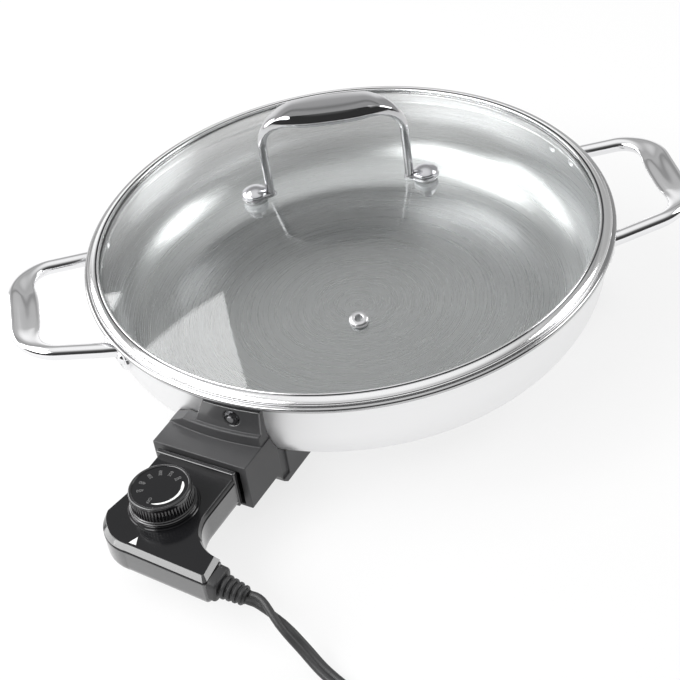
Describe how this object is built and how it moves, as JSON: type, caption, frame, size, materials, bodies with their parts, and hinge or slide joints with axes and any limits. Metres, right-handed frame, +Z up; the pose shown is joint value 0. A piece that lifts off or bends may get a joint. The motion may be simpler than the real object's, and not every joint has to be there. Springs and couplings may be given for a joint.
{
  "type": "electric skillet",
  "caption": "Round stainless electric skillet with two loop handles, a lift-off domed glass lid, and a plug-in dial thermostat on a flat cord.",
  "frame": {"origin": "on the pan's axis in the plane of the table, under the foot pads", "axes": "+Z up along the pan's axis, +X towards the right side handle, the control leaves at 230 degrees from +X about +Z"},
  "size_m": [0.4124, 0.5772, 0.1601],
  "materials": {
    "polished_steel": "polished stainless steel",
    "satin_steel": "satin stainless steel",
    "cast_aluminium": "bead-blasted casting",
    "element_sheath": "dark oxidised sheath",
    "ceramic": null,
    "charcoal_plastic": "matt phenolic plastic",
    "black_plastic": "glossy black plastic",
    "black_rubber": "black rubber",
    "grey_silicone": "translucent grey silicone",
    "lid_glass": "clear tempered glass",
    "brass": "brass and spring bronze"
  },
  "bodies": {
    "skillet": {"pan_body": "polished_steel", "heat_plate": "cast_aluminium", "heating_element": "element_sheath", "element_pins": "satin_steel", "terminal_bushings": "ceramic", "probe_well": "satin_steel", "socket_plate": "satin_steel", "probe_guard": "charcoal_plastic", "guard_stud": "satin_steel", "guard_nut": "polished_steel", "guard_screws": "satin_steel", "rear_legs": "charcoal_plastic", "leg_screws": "satin_steel", "foot_pads": "black_rubber", "handle_left": "polished_steel", "handle_right": "polished_steel", "handle_rivets": "polished_steel"},
    "lid": {"lid_glass": "lid_glass", "lid_band": "satin_steel", "lid_handle": "polished_steel", "lid_bolts": "polished_steel", "lid_washers": "grey_silicone", "lid_seals": "grey_silicone", "lid_nuts": "satin_steel", "steam_vent": "satin_steel"},
    "control": {"control_nose": "black_plastic", "control_top": "black_plastic", "control_bottom": "black_plastic", "control_screws": "satin_steel", "contact_sleeves": "brass", "probe_tube": "satin_steel", "thermostat_stack": "ceramic", "bimetal_strip": "brass", "contact_arm": "brass", "strain_relief": "black_rubber", "cord": "black_rubber", "cord_coil": "black_rubber", "coil_tie": "black_rubber", "plug_body": "black_plastic", "plug_blades": "brass"},
    "dial": {"dial_knob": "black_plastic", "dial_spindle": "satin_steel"}
  },
  "joints": [
    {"name": "lid_lift", "type": "slide", "parent": "skillet", "child": "lid", "axis": [0, 0, 1], "range_m": [0, 0.09]},
    {"name": "control_pull", "type": "slide", "parent": "skillet", "child": "control", "axis": [-0.6428, -0.766, 0], "range_m": [0, 0.06]},
    {"name": "dial_turn", "type": "hinge", "parent": "control", "child": "dial", "pos_m": [-0.13563, -0.16164, 0.046], "axis": [0, 0, 1], "range_deg": [-306, 0]}
  ]
}
